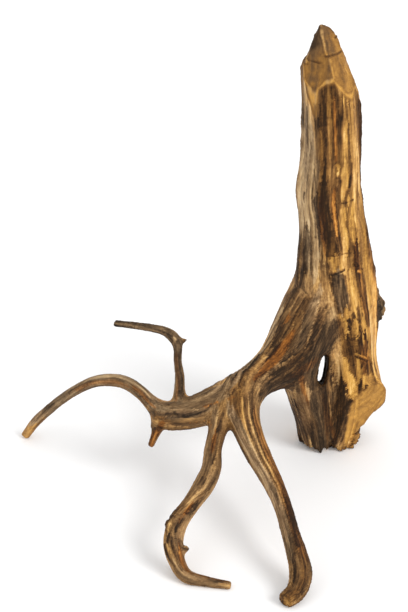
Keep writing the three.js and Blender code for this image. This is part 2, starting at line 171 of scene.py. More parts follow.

# What the years left on each limb, with some painted shade: streaks that follow the fibres, [level, half
# width,
# line], by kind. The line is a list of (along, facing): along is how far down the limb's line it is, facing
# is the way round from the limb's front in degrees. tone brings the wood to a lightness from 0 to 1; rust
# turns its hue, and so does the cool hue of weathered wood, which on the sides turned from the light is
# painted shade.
# A streak's ends are frayed unless it is BLUNT.
BLUNT = True
STREAKS = {
    "stem": dict(tone=[
        (0.25, 11, [(430, 2), (236, 0)]), (0.50, 12, [(425, 55), (236, 55)]),
        (0.52, 9, [(405, -60), (300, -55)]), (0.60, 4, [(350, -38), (235, -36)]),
        (0.18, 2.2, [(402, -61), (352, -61)]), (0.22, 1.1, [(364, -48), (350, -48)]),
        (0.55, 2.4, [(402, -43), (372, -45), (350, -45)]), (0.10, 2.8, [(404, -29), (368, -33)]),
        (0.18, 2.0, [(404, -19), (340, -17), (308, -12)]), (0.34, 1.6, [(404, -25), (375, -25)]),
        (0.50, 2.6, [(368, -25), (318, -22)]), (0.12, 1.8, [(395, -14), (330, -14)]),
        (0.42, 2.2, [(404, -7), (330, -6)]), (0.16, 1.2, [(402, -1), (360, 0), (300, -1)]),
        (0.55, 1.2, [(400, 5), (345, 5)]), (0.12, 2.4, [(396, 12), (342, 13)]),
        (0.28, 5, [(404, 27), (384, 27)]), (0.60, 2.4, [(374, 25), (335, 25)]),
        (0.80, 4.4, [(345, 23), (300, 22)]), (0.88, 1.4, [(338, 12), (330, 10)]),
        (0.14, 1.5, [(384, 33), (350, 33), (325, 38), (308, 33)]), (0.46, 6, [(396, 55), (352, 58)]),
        (0.90, 2.4, [(358, 60), (300, 60)]), (0.86, 2.0, [(342, 46), (290, 48)]),
        (0.40, 0.7, [(340, 53), (300, 53)]), (0.14, 1.7, [(309, -60), (299, -60)]),
        (0.17, 3.6, [(282, -56), (215, -56)]), (0.20, 2.6, [(225, -64), (180, -66)]),
        (0.30, 0.9, [(302, -38), (286, -38)]), (0.66, 2.6, [(300, -45), (268, -42), (225, -40)]),
        (0.09, 2.8, [(308, -25), (246, -29)]), (0.30, 2.2, [(302, -18), (246, -19)]),
        (0.10, 2.8, [(318, -9), (280, -9), (244, -10)]), (0.56, 1.8, [(314, 3), (284, 4)]),
        (0.78, 2.2, [(292, 6), (264, 5)]), (0.12, 2.2, [(334, 14), (300, 14), (247, 10)]),
        (0.20, 2.6, [(270, 2), (244, 0)]), (0.74, 4.4, [(300, 21), (242, 19)]),
        (0.32, 1.0, [(292, 16), (262, 15)]), (0.26, 1.5, [(286, 27), (246, 27)]),
        (0.20, 1.4, [(284, 37), (264, 33), (244, 28)]), (0.76, 6.5, [(296, 44), (240, 42)]),
        (0.34, 4.5, [(404, 88), (232, 84)]), (0.88, 2, [(300, 34), (288, 33)]),
        (0.90, 1.6, [(270, 24), (246, 23)]), (0.58, 4.5, [(256, -23), (236, -23)]),
        (0.76, 4.5, [(240, -5), (224, -5)]), (0.78, 4.5, [(240, 12), (224, 12)]),
        (0.10, 3, [(238, 33), (218, 35)]), (0.90, 1.2, [(224, 42), (214, 45)]),
        (0.22, 7.4, [(224, 3), (178, 2)], BLUNT), (0.10, 1.2, [(226, -11), (198, -11)]),
        (0.46, 5, [(236, -27), (196, -28)]), (0.70, 2.4, [(218, -15), (170, -12)]),
        (0.86, 2.8, [(226, 22), (166, 22)]), (0.24, 5.2, [(218, 42), (148, 43)], BLUNT),
        (0.80, 1.1, [(184, 35), (156, 36)]), (0.66, 4, [(232, 60), (140, 62)]),
        (0.32, 4, [(262, 76), (200, 78)]), (0.26, 3, [(180, 15), (156, 16)]),
        (0.24, 1.7, [(188, 26), (150, 25)]), (0.84, 1.7, [(184, 9), (160, 3), (140, -7)]),
        (0.16, 1.7, [(170, 11), (152, 4), (134, -6)]), (0.20, 4.4, [(146, 3), (116, -1)], BLUNT),
        (0.90, 2.8, [(166, 18), (136, 17)]), (0.20, 1.0, [(154, 23), (140, 22)]),
        (0.88, 3.2, [(158, 33), (134, 34)]), (0.16, 4.4, [(140, 30), (118, 30)]),
        (0.26, 5.6, [(117, 30), (95, 28)], BLUNT), (0.18, 2.8, [(124, -1), (96, -2)]),
        (0.82, 4.2, [(128, -20), (84, -17)]), (0.84, 4.2, [(104, -8), (66, 0)]),
        (0.80, 2, [(118, 12), (84, 10)]), (0.82, 5, [(98, 22), (78, 26)]), (0.80, 2, [(134, 50), (90, 56)]),
        (0.24, 1.2, [(112, 58), (84, 66)]), (0.13, 8, [(70, -28), (4, -30)]),
        (0.12, 6, [(62, -14), (26, -12)]), (0.88, 2.0, [(74, 4), (8, 8)]),
    ], grey_and_shade=[
        # The high cool levels on the left side, turned from the light, are partly painted cool shade; the 0
        # levels keep the lit right and front warm.
        (0.0, 30, [(430, 42), (0, 42)]), (0.0, 12, [(430, 0), (240, 0)]),
        (0.8, 9, [(400, -58), (226, -52)]), (0.8, 9, [(400, -84), (226, -84)]),
        (0.7, 7, [(355, -38), (216, -42)]), (0.6, 7.6, [(226, 3), (178, 2)]),
        (0.3, 9, [(70, -25), (4, -25)]),
    ], rust=[
        (0.9, 1.5, [(404, 5), (340, 5)]), (0.7, 3.0, [(296, -18), (245, -19)]),
        (0.9, 2.4, [(316, 3), (262, 5)]), (0.3, 5, [(404, 88), (232, 84)]),
        (0.9, 5, [(243, 36), (216, 40)]), (0.5, 4.8, [(218, 42), (148, 44)]),
        (0.4, 5, [(262, 76), (120, 80)]), (0.7, 5, [(140, 30), (94, 28)]),
    ]),
    "taproot": dict(tone=[
        (0.20, 14, [(40, 0), (100, 0)]), (0.16, 9, [(60, -40), (130, -40)]),
        (0.28, 9, [(95, 6), (205, 30)]), (0.20, 9, [(120, -35), (205, -30)]),
        (0.38, 3, [(95, 8), (125, 4)]), (0.10, 2.2, [(80, 28), (118, 26)]),
        (0.08, 0.9, [(172, 10), (203, 22)]), (0.16, 4, [(40, -12), (75, -8)]),
        (0.56, 1.2, [(140, -46), (170, -48)]), (0.06, 1.2, [(40, -5), (85, -38)]),
    ], grey_and_shade=[
        (0.45, 14, [(125, 20), (205, 30)]),
    ], rust=[
        (0.8, 4.5, [(85, 10), (140, 0)]), (0.6, 2, [(150, -40), (195, -45)]),
    ]),
    "web": dict(tone=[
        # The web's 0.06 streak is painted shade in the hollow over the slot.
        (0.15, 12, [(60, 0), (200, 0)]), (0.06, 5, [(44, 6), (88, 0)]),
        (0.62, 1.1, [(138, -15), (158, -15)]), (0.26, 3, [(100, 18), (190, 20)]),
    ], rust=[
        (0.5, 3, [(120, 5), (190, 0)]),
    ]),
    "main_root": dict(tone=[
        (0.60, 6, [(60, 50), (130, 45), (160, 20)]), (0.28, 7, [(30, 15), (64, 0), (96, -28)]),
        (0.66, 1.2, [(28, -6), (60, -27), (88, -44)]), (0.52, 0.8, [(44, 8), (72, -12), (100, -32)]),
        (0.46, 0.8, [(52, 20), (82, 2), (104, -14)]), (0.12, 2.2, [(38, -19), (66, -31)]),
        (0.16, 6, [(66, 30), (92, 26), (108, 14)]), (0.44, 2, [(62, 26), (74, 22)]),
        (0.40, 4, [(82, -2), (112, -8), (140, -18)]), (0.14, 3, [(92, 8), (125, 4)]),
        (0.62, 1.6, [(102, 28), (122, 20), (152, -10)]),
        (0.68, 1.1, [(132, 30), (158, 6), (172, -22), (174, -60)]),
        (0.14, 1.0, [(126, 34), (152, 12), (167, -12), (169, -50)]), (0.08, 8, [(94, -50), (132, -56)]),
        (0.12, 4, [(88, -36), (118, -30)]), (0.16, 9, [(90, -90), (150, -85)]),
        (0.30, 9, [(190, -30), (262, -30)]), (0.42, 5, [(185, 20), (250, 15)]),
        (0.12, 3.4, [(197, -48), (209, -44)]), (0.14, 2, [(216, -40), (224, -36)]),
        (0.56, 1.1, [(201, -22), (207, -20)]), (0.60, 0.9, [(210, -72), (216, -58)]),
        (0.68, 1.0, [(216, -24), (222, -16)]), (0.12, 1.0, [(176, -10), (190, -22)]),
    ], grey_and_shade=[
        (0.75, 7, [(50, 60), (110, 50), (175, 10), (240, 20)]), (0.6, 5, [(15, 0), (70, -18), (96, -36)]),
        (0.7, 14, [(180, 0), (262, 0)]),
    ], rust=[
        (0.9, 3, [(62, 26), (74, 22)]), (1.0, 6, [(78, 0), (110, -8), (146, -22)]),
        (0.6, 5, [(86, -75), (112, -80)]), (1.0, 1.5, [(200, -22), (209, -20)]),
        (1.0, 1.4, [(210, -68), (216, -60)]), (0.8, 1.5, [(184, -26), (192, -24)]),
    ]),
    "left_root": dict(tone=[
        (0.42, 9, [(8, 0), (215, 0)]), (0.60, 1.8, [(30, 10), (140, 10)]),
        (0.28, 0.8, [(66, -5), (80, -8)]), (0.22, 1.4, [(8, -30), (30, -40)]),
        (0.70, 1.4, [(180, 0), (192, 0)]), (0.26, 1.5, [(200, 10), (222, 10)]),
        (0.34, 0.6, [(90, -20), (180, -25)]),
    ], grey_and_shade=[
        (0.85, 9, [(8, 0), (215, 0)]), (0.8, 8, [(185, 0), (222, 0)]),
    ], rust=[
        (0.5, 2.2, [(50, -50), (130, -50)]), (0.7, 2, [(20, -20), (45, -25)]),
    ]),
    "back_branch": dict(tone=[
        # The back branch's dark tone along its whole length is painted shade, as it lies back out of the
        # light; its cool hue is partly painted shade and partly weathering.
        (0.31, 9, [(5, 0), (165, 0)]), (0.20, 1.2, [(64, 30), (78, 30)]), (0.5, 1.0, [(84, 40), (150, 40)]),
    ], grey_and_shade=[
        (0.85, 9, [(5, 0), (165, 0)]),
    ], rust=[
        (0.5, 2, [(10, -20), (60, -20)]),
    ]),
    "snag": dict(tone=[
        (0.30, 5, [(4, 0), (30, 0)]), (0.60, 1, [(14, 10), (42, 0)]),
    ], rust=[
        (0.9, 5, [(4, 0), (40, 0)]),
    ]),
    "crooked_leg": dict(tone=[
        (0.37, 9, [(20, 0), (250, 0)]), (0.66, 2, [(38, 20), (56, 18)]), (0.12, 1.6, [(36, -8), (52, -4)]),
        (0.64, 1.0, [(70, -38), (84, -12), (96, 0)]), (0.14, 0.9, [(74, -20), (88, 2)]),
        (0.62, 1.0, [(92, -8), (120, -8)]), (0.60, 0.9, [(90, -25), (126, -22)]),
        (0.12, 0.8, [(104, 0), (124, -2)]), (0.66, 1.6, [(122, -15), (146, 8)]),
        (0.14, 3.2, [(128, -52), (146, -32)]), (0.12, 3.4, [(154, -34), (168, -12)]),
        (0.84, 2, [(162, 34), (174, 38)]), (0.10, 1.2, [(148, 36), (158, 42)]),
        (0.16, 1.0, [(170, 44), (178, 46)]), (0.52, 2.2, [(182, -36), (208, -24)]),
        (0.20, 1.0, [(176, 0), (206, 6)]), (0.30, 1.6, [(214, 0), (245, 0)]),
        (0.14, 2.2, [(132, -56), (152, -12)]), (0.62, 9, [(251, 0), (280, 0)], BLUNT),
    ], grey_and_shade=[
        (0.6, 6, [(30, 35), (130, 35)]), (0.6, 5, [(200, 30), (250, 20)]),
    ], rust=[
        (0.9, 2, [(48, 12), (70, -5)]), (0.9, 2.4, [(136, -24), (156, -14)]),
        (0.9, 3.4, [(178, -40), (212, -22)]), (0.7, 1.6, [(214, -30), (250, -30)]),
    ]),
    "long_leg": dict(tone=[
        (0.35, 12, [(20, 0), (235, 0)]), (0.20, 2.6, [(26, -34), (110, -32)]),
        (0.72, 1.3, [(24, -18), (50, -14), (76, -9), (118, -5)]),
        (0.68, 1.2, [(24, 5), (60, 15), (84, 22), (122, 20)]),
        (0.24, 0.9, [(24, -6), (60, 2), (104, 7), (150, 8)]), (0.16, 1.0, [(40, 24), (66, 30), (112, 30)]),
        (0.60, 0.9, [(120, -10), (160, -12)]), (0.64, 1.0, [(118, 12), (150, 10), (170, 4)]),
        (0.20, 0.8, [(126, -20), (168, -20)]), (0.70, 0.9, [(146, 28), (154, 34)]),
        (0.08, 2.0, [(177, -14), (183, -10)]), (0.66, 0.9, [(184, -10), (190, -2)]),
        (0.10, 1.4, [(196, 18), (203, 34)]), (0.26, 5, [(186, -40), (232, -30)]),
        (0.6, 1.4, [(210, 36), (234, 30)]), (0.14, 1.0, [(26, -24), (60, -20), (100, -15)]),
        (0.20, 1.0, [(30, -2), (60, 8), (112, 14)]), (0.55, 1.0, [(30, -32), (70, -26), (110, -22)]),
        (0.66, 16, [(243, 0), (275, 0)], BLUNT),
    ], grey_and_shade=[
        (0.75, 7, [(30, 50), (200, 48)]), (0.5, 5, [(190, 30), (236, 20)]),
    ], rust=[
        (0.6, 5, [(30, -42), (205, -40)]),
    ]),
    "leg_spur": dict(tone=[(0.16, 6, [(0, 0), (14, 0)])]),
    "bark_knob": dict(tone=[(0.14, 12, [(0, 0), (60, 0)])], grey_and_shade=[(0.8, 12, [(0, 0), (60, 0)])]),
}

# Whole regions that are darker or paler: [tone, centre, radii].
ZONES = [
    (0.30, (-33, -30, 154), (26, 40, 40)), (0.16, (-30, -34, 122), (26, 40, 42)),
    (0.13, (-14, -20, 45), (30, 45, 52)), (0.19, (-62, -52, 96), (28, 34, 24)),
    (0.33, (-130, -90, 90), (45, 40, 25)), (0.10, (-12, -34, 70), (10, 12, 24)),
    (0.60, (-60, -270, 5), (7, 7, 9)), (0.58, (-107, -244, 4), (6, 6, 8)),
]

# For each kind of streak, how much its level follows the fine and the medium fibres, and how well it covers.
COVER = {"tone": (0.10, 0.06, 0.92), "grey_and_shade": (0, 0.12, 1), "rust": (0, 0, 1)}

# How far from a limb's own surface its streaks still show, where it is more than 9: at the fillets.
REACH = {"stem": 14, "taproot": 16, "web": 16, "main_root": 16}

# Small things with a shape, on each limb: [kind, depth or height, half width, line], the line as above. A
# crack or a pit is sunk and painted dark, as painted shade in it; a ridge or a bump is raised and pale, and
# a rise is only raised.
NICKS = {
    "stem": [
        ("crack", 0.9, 0.55, [(296, 17), (297, 44)]),
        ("crack", 0.8, 0.45, [(243, -15), (243.5, 6), (242, 28)]),
        ("crack", 1.6, 0.9, [(225, -9), (226, 2), (227, 12)]), ("crack", 0.7, 0.5, [(236, -9), (226, -10)]),
        ("bump", 1.8, 1.4, [(336, 9), (334, 12)]), ("pit", 2.2, 1.7, [(229, 32), (227, 36)]),
        ("bump", 1.6, 1.4, [(220, 38), (217, 45)]), ("ridge", 1.1, 0.8, [(124, 8), (120, 20), (114, 34)]),
        ("crack", 1.0, 0.8, [(121, 10), (117, 22), (112, 33)]), ("ridge", 1.6, 1.5, [(72, 4), (8, 8)]),
        ("crack", 0.8, 0.5, [(330, -38), (310, -28)]), ("crack", 0.8, 0.6, [(150, 21), (141, 23)]),
    ],
    "taproot": [
        ("crack", 1.0, 0.6, [(172, 10), (203, 22)]), ("pit", 1.6, 1.6, [(68, 0), (74, -2)]),
        ("crack", 0.8, 0.6, [(140, 40), (150, 20)]),
    ],
    "main_root": [
        ("pit", 1.8, 1.6, [(150, -58), (154, -56)]), ("pit", 1.5, 1.5, [(166, -52), (168, -50)]),
        ("crack", 1.0, 0.8, [(128, 32), (152, 12), (167, -12)]),
        ("rise", 1.6, 1.6, [(233, -30), (236, -26)]), ("rise", 1.3, 1.3, [(240, -34), (242, -32)]),
    ],
    "long_leg": [
        ("rise", 0.7, 1.6, [(22, -18), (50, -14), (76, -9), (118, -5)]),
        ("rise", 0.7, 1.6, [(22, 5), (60, 15), (84, 22), (118, 20)]),
        ("pit", 1.4, 1.4, [(180, -12), (181, -11)]), ("pit", 1.5, 1.4, [(197, 18), (203, 34)]),
    ],
    "crooked_leg": [
        ("bump", 1.4, 1.3, [(168, 36), (172, 38)]), ("rise", 2.2, 3.0, [(150, 70), (154, 74)]),
        ("rise", 2.4, 3.2, [(170, 60), (175, 64)]), ("rise", 2.0, 2.0, [(116, -56), (132, -20), (150, 14)]),
        ("pit", 1.4, 1.6, [(161, 62), (163, 60)]), ("pit", 1.6, 1.3, [(156, 28), (160, 38)]),
        ("pit", 1.5, 1.2, [(172, 18), (177, 28)]), ("rise", 1.6, 2.4, [(164, 18), (168, 24)]),
        ("pit", 1.2, 1.0, [(180, 50), (187, 44)]), ("rise", 1.2, 1.6, [(182, 20), (186, 26)]),
        ("pit", 1.2, 1.1, [(150, 38), (157, 42)]), ("crack", 0.7, 0.6, [(174, 0), (206, 6)]),
        ("crack", 0.8, 0.6, [(74, -20), (90, 2)]),
    ],
    "back_branch": [("bump", 1.0, 1.2, [(72, 20), (74, 24)])],
}

# The marks' tones: the dark ones of cracks, pits and ledges are painted shade in them; ridges and bumps are
# pale.
MARK_TONES_AND_SHADE = {"crack": 0.06, "pit": 0.06, "ridge": 0.80, "bump": 0.74, "ledge": 0.2}
SHALLOW_CRACK_TONE = 0.16  # how much paler a crack is that is under a millimetre deep


# --- noise ---

def hashed(cells, seed):
    """A random number from 0 to 1 for each cell of whole numbers."""
    x, y, z = (cells[..., i].astype(np.uint64) for i in range(3))
    h = x * np.uint64(73856093) ^ y * np.uint64(19349663) ^ z * np.uint64(83492791)
    h = h ^ np.uint64(seed * 2654435761 + 97)
    h = (h ^ (h >> np.uint64(13))) * np.uint64(1274126177)
    h = (h ^ (h >> np.uint64(16))) * np.uint64(2246822519)
    return ((h >> np.uint64(8)) & np.uint64(0xFFFFFF)).astype(np.float64) / 0xFFFFFF


def noise(points, size, seed, octaves=1):
    """Smooth noise from -1 to 1, whose bumps are about size across."""
    total = np.zeros(len(points))
    gain, norm = 1.0, 0.0
    for octave in range(octaves):
        p = points / (np.asarray(size, float) / 2**octave) + 1000.5
        cell = np.floor(p).astype(np.int64)
        f = p - cell
        f = f * f * f * (f * (f * 6 - 15) + 10)
        value = np.zeros(len(points))
        for corner in range(8):
            step = np.array([corner & 1, corner >> 1 & 1, corner >> 2 & 1])
            weight = np.prod(np.where(step, f, 1 - f), axis=1)
            value += weight * hashed(cell + step, seed + 31 * octave)
        total += gain * (2 * value - 1)
        norm += gain
        gain *= 0.5
    return total / norm


def smoothstep(low, high, value):
    t = np.clip((value - low) / (high - low), 0, 1)
    return t * t * (3 - 2 * t)


# --- limbs ---

def unit(v):
    return v / np.maximum(np.linalg.norm(v, axis=-1, keepdims=True), 1e-9)


def catmull_rom(rows, steps=24):
    """Points on the smooth curve through the rows."""
    ends = np.vstack([2 * rows[0] - rows[1], rows, 2 * rows[-1] - rows[-2]])
    t = np.linspace(0, 1, steps, endpoint=False)[:, None]
    spans = [
        0.5 * (2 * b + (c - a) * t + (2 * a - 5 * b + 4 * c - d) * t**2 + (3 * b - a - 3 * c + d) * t**3)
        for a, b, c, d in zip(ends[:-3], ends[1:-2], ends[2:-1], ends[3:])
    ]
    return np.vstack(spans + [rows[-1:]])


class Limb:
    """A limb's line, sampled at even steps, with its radii and the frame that they lie along."""

    def __init__(self, front, blend, flutes, stations):
        dense = catmull_rom(np.array(stations, float))
        gaps = np.linalg.norm(np.diff(dense[:, :3], axis=0), axis=1)
        along = np.concatenate([[0], np.cumsum(gaps)])
        self.length = along[-1]
        self.s = np.linspace(0, self.length, int(self.length / LINE_STEP) + 2)
        rows = np.column_stack([np.interp(self.s, along, column) for column in dense.T])
        self.centre, self.radii = rows[:, :3], rows[:, 3:]
        self.tangent = unit(np.gradient(self.centre, self.s, axis=0))
        front = np.array(front, float)
        self.ahead = unit(front - (self.tangent @ front)[:, None] * self.tangent)
        self.side = np.cross(self.tangent, self.ahead)
        self.blend, self.flutes = blend, flutes

    def nearest(self, points):
        """The index of the sample that is nearest to each point."""
        best = np.full(len(points), np.inf)
        index = np.zeros(len(points), int)
        for i, centre in enumerate(self.centre):
            d = ((points - centre) ** 2).sum(axis=1)
            closer = d < best
            best[closer] = d[closer]
            index[closer] = i
        return index

    def place(self, points, index):
        """Each point's place along the limb and its offset from the line, to the side and ahead."""
        offset = points - self.centre[index]
        step = (offset * self.tangent[index]).sum(axis=1)
        offset = offset - step[:, None] * self.tangent[index]
        x = (offset * self.side[index]).sum(axis=1)
        y = (offset * self.ahead[index]).sum(axis=1)
        return self.s[index] + step, x, y

    def distance(self, points, index):
        """Each point's distance outside the limb's surface."""
        s, x, y = self.place(points, index)
        inside = np.clip(s, 0, self.length)
        width, depth = (np.interp(inside, self.s, column) for column in self.radii.T)
        angle = np.arctan2(x / width, y / depth)
        radius = width * depth / np.sqrt((depth * np.sin(angle)) ** 2 + (width * np.cos(angle)) ** 2)
        for count, share, turn in self.flutes:
            radius = radius * (1 + share * np.cos(count * angle + turn + s / 40))
        past = np.maximum(-s, s - self.length)
        return np.maximum(np.hypot(x, y) - radius, past)


class Field:
    """Distances outside the wood, on an even grid."""

    def __init__(self, limbs):
        points = np.vstack([limb.centre for limb in limbs])
        reach = np.concatenate([limb.radii.max(axis=1) for limb in limbs])[:, None]
        self.low = (points - reach).min(axis=0) - MARGIN
        self.low[2] = max(self.low[2], -MARGIN)
        high = (points + reach).max(axis=0) + MARGIN
        self.shape = np.ceil((high - self.low) / VOXEL).astype(int) + 1
        self.values = np.full(self.shape, BAND, np.float32)

    def window(self, low, high):
        """The slices of the grid between two corners, and the places along its three axes there."""
        first = np.clip(np.floor((low - self.low) / VOXEL).astype(int), 0, self.shape)
        last = np.clip(np.ceil((high - self.low) / VOXEL).astype(int) + 1, 0, self.shape)
        slices = tuple(slice(a, b) for a, b in zip(first, last))
        axes = [self.low[i] + VOXEL * np.arange(first[i], last[i]) for i in range(3)]
        return slices, axes

    def add(self, limb):
        """Joins a limb on, with a fillet."""
        reach = limb.radii.max(axis=1) * 1.15 + BAND
        slices, axes = self.window(
            (limb.centre - reach[:, None]).min(axis=0), (limb.centre + reach[:, None]).max(axis=0))
        size = tuple(len(axis) for axis in axes)
        best = np.full(size, np.inf, np.float32)
        index = np.full(size, -1, np.int32)
        low = np.array([axis[0] for axis in axes])
        for i, centre in enumerate(limb.centre):
            span = reach[i] + LINE_STEP
            first = np.clip(np.floor((centre - span - low) / VOXEL).astype(int), 0, size)
            last = np.clip(np.ceil((centre + span - low) / VOXEL).astype(int) + 1, 0, size)
            if (last <= first).any():
                continue
            part = tuple(slice(a, b) for a, b in zip(first, last))
            dx, dy, dz = ((axis[a:b] - c) ** 2 for axis, a, b, c in zip(axes, first, last, centre))
            d = dx[:, None, None] + dy[None, :, None] + dz[None, None, :]
            closer = d < best[part]
            best[part][closer] = d[closer]
            index[part][closer] = i
        near = np.nonzero(index >= 0)
        points = np.column_stack([axis[n] for axis, n in zip(axes, near)])
        made = limb.distance(points, index[near])
        values = self.values[slices]
        old = values[near]
        fillet = np.maximum(limb.blend - np.abs(old - made), 0) / limb.blend
        values[near] = np.clip(np.minimum(old, made) - fillet**2 * limb.blend / 4, -BAND, BAND)

    def cut(self, low, high, beyond, edge=1.0):
        """Takes off what lies where beyond is above 0, between two corners."""
        slices, axes = self.window(np.array(low, float), np.array(high, float))
        grid = np.meshgrid(*axes, indexing="ij")
        points = np.column_stack([g.ravel() for g in grid])
        values = self.values[slices]
        near = values.ravel() < BAND
        old = values.ravel()[near]
        made = beyond(points[near])
        rounding = np.maximum(edge - np.abs(old - made), 0) / edge
        flat = values.ravel()
        flat[near] = np.clip(np.maximum(old, made) + rounding**2 * edge / 4, -BAND, BAND)
        self.values[slices] = flat.reshape(values.shape)

    def surface(self):
        grid = openvdb.FloatGrid(BAND)
        grid.copyFromArray(self.values)
        vertices, quads = grid.convertToQuads(0.0)
        return vertices.astype(float) * VOXEL + self.low, quads.astype(np.int64)[:, ::-1]


def plane_cut(cut):
    """How far points are beyond a plane that is slightly uneven."""
    normal = unit(np.array(cut.normal, float))
    return lambda p: (p - np.array(cut.point)) @ normal + cut.ripple * noise(p, cut.size, cut.seed)


def facet_cut(facet, ripple=0.0, seed=0):
    """How far points are beyond a hewn facet: a slope, with a hollow of the depth bite over its foot."""
    turn, tilt = math.radians(facet.facing), math.radians(facet.lean)
    outward = np.array([math.sin(turn), -math.cos(turn), 0])

    def beyond(p):
        rise = p[:, 2] - facet.foot
        inset = rise * math.tan(tilt) + facet.bite * (1 - np.exp(-np.maximum(rise, 0) / 8))
        return ((p - TIP_AXIS) @ outward - TIP_RADIUS + inset) * math.cos(tilt) + ripple * noise(p, 9, seed)

    return beyond


def slot_cut():
    """How far points are inside the slot, whose sides are a little uneven."""
    ahead = np.array([0, math.cos(SLOT_FALL), -math.sin(SLOT_FALL)])
    up = np.array([SLOT_LEAN, math.sin(SLOT_FALL), math.cos(SLOT_FALL)])
    right = np.cross(ahead, up)

    def beyond(p):
        x, y = (p - SLOT_POINT) @ right, (p - SLOT_POINT) @ up
        off_centre = ((x / SLOT_HALF_WIDTH) ** 2 + (y / SLOT_HALF_HEIGHT) ** 4) ** 0.5
        return SLOT_HALF_WIDTH - SLOT_HALF_WIDTH * off_centre + 0.7 * noise(p, 7, 30)

    return beyond


def base_cut(p):
    """How far points are below the broken base: up to the splinters' height round the worn pad."""
    off_pad = np.hypot((p[:, 0] - PAD_X) / PAD_HALF_WIDTH, (p[:, 1] - PAD_Y) / PAD_HALF_DEPTH)
    upright = p * [1, 1, 0.1]
    long = LONG_SPLINTERS * smoothstep(-0.1, 0.4, noise(upright, 5, 41))
    short = SHORT_SPLINTERS * smoothstep(0, 0.4, noise(upright, 3, 42))
    return smoothstep(0.8, 1.6, off_pad) * (0.8 + (long + short)) - p[:, 2]


def carve(field):
    """Cuts the tip, the sawn and broken sides, the slot, the base and the ground off the limbs."""
    for seed, facet in enumerate(FACETS):
        low, high = (-60, -45, facet.bottom), (30, 45, 480)
        field.cut(low, high, facet_cut(facet, ripple=0.9, seed=seed), edge=0.8)
    for cut in (WORN_TOP, SAWN_FACE, UNDERCUT, SPLIT_SIDE):
        field.cut(cut.low, cut.high, plane_cut(cut), cut.edge)
    field.cut(*SLOT_BOX, slot_cut(), edge=3.5)
    field.cut(*BASE_BOX, base_cut, edge=0.8)
    field.cut(*GROUND_BOX, lambda p: -p[:, 2], edge=0.6)


# --- surface ---

class Surface:
    """A mesh of quads, with what its vertices hold."""

    def __init__(self, vertices, quads):
        self.v, self.quads = vertices, quads
        pairs = np.vstack([quads[:, [i, (i + 1) % 4]] for i in range(4)])
        self.edges = np.unique(np.sort(pairs, axis=1), axis=0)
        self.keep_largest()

    def keep_largest(self):
        """Drops any crumb that a cut left loose."""
        label = np.arange(len(self.v))
        while True:
            low = np.minimum(label[self.edges[:, 0]], label[self.edges[:, 1]])
            new = label.copy()
            np.minimum.at(new, self.edges[:, 0], low)
            np.minimum.at(new, self.edges[:, 1], low)
            new = new[new]
            if (new == label).all():
                break
            label = new
        names, counts = np.unique(label, return_counts=True)
        kept = label == names[counts.argmax()]
        number = np.cumsum(kept) - 1
        self.v = self.v[kept]
        self.quads = number[self.quads[kept[self.quads[:, 0]]]]
        self.edges = number[self.edges[kept[self.edges[:, 0]]]]

    def spread(self, values):
        """Each vertex's mean over its neighbours."""
        values = np.asarray(values, float)
        a, b = self.edges.T
        total = np.zeros_like(values)
        np.add.at(total, a, values[b])
        np.add.at(total, b, values[a])
        count = np.bincount(self.edges.ravel(), minlength=len(self.v))
        return total / (count[:, None] if values.ndim == 2 else count)

    def smooth(self, rounds, share=0.5):
        for _ in range(rounds):
            self.v += share * (self.spread(self.v) - self.v)

    def normals(self):
        corners = self.v[self.quads]
        face = np.cross(corners[:, 2] - corners[:, 0], corners[:, 3] - corners[:, 1])
        normal = np.zeros_like(self.v)
        for i in range(4):
            np.add.at(normal, self.quads[:, i], face)
        return unit(normal)


class Lookup:
    """Finds the vertex nearest to a point, by a grid of cells."""

    def __init__(self, vertices, cell=1.5):
        self.cell, self.low = cell, vertices.min(axis=0) - 4 * cell
        shape = np.ceil((vertices.max(axis=0) - self.low) / cell).astype(int) + 5
        self.grid = np.full(shape, -1, np.int32)
        home = self.cells(vertices)
        order = [(i, j, k) for i in (-1, 0, 1) for j in (-1, 0, 1) for k in (-1, 0, 1)]
        for step in sorted(order, key=lambda s: -sum(abs(n) for n in s)):
            at = home + step
            self.grid[at[:, 0], at[:, 1], at[:, 2]] = np.arange(len(vertices))

    def cells(self, points):
        return np.floor((points - self.low) / self.cell).astype(int)

    def at(self, points, otherwise):
        cell = np.clip(self.cells(points), 0, np.array(self.grid.shape) - 1)
        found = self.grid[cell[:, 0], cell[:, 1], cell[:, 2]]
        return np.where(found >= 0, found, otherwise)


def fibre_directions(points, normals, limbs, fade=5.0):
    """The way that the fibres run at each point: along the limbs, turning smoothly from one to the next."""
    distances, tangents = [], []
    for limb in limbs:
        index = limb.nearest(points)
        distances.append(limb.distance(points, index))
        tangents.append(limb.tangent[index])
    distances = np.array(distances)
    weights = np.exp(-(distances - distances.min(axis=0)) / fade)
    way = sum(w[:, None] * t for w, t in zip(weights, tangents))
    way = way - (way * normals).sum(axis=1)[:, None] * normals
    return unit(way), distances


def streaks(surface, lookup, way, base, step, count):
    """The mean of base along the fibres, count steps each way: what was a speckle becomes a streak."""
    total, number = base.copy(), np.ones(len(base))
    for sign in (1, -1):
        here = np.arange(len(surface.v))
        point = surface.v.copy()
        for _ in range(count):
            point = point + sign * step * way[here]
            last, here = here, lookup.at(point, here)
            moved = here != last
            ahead = ((point - surface.v[here]) * way[here]).sum(axis=1)[:, None]
            point = 0.5 * point + 0.5 * (surface.v[here] + way[here] * ahead)
            total += moved * base[here]
            number += moved
    total /= np.sqrt(number)
    total -= total.mean()
    return total / total.std()


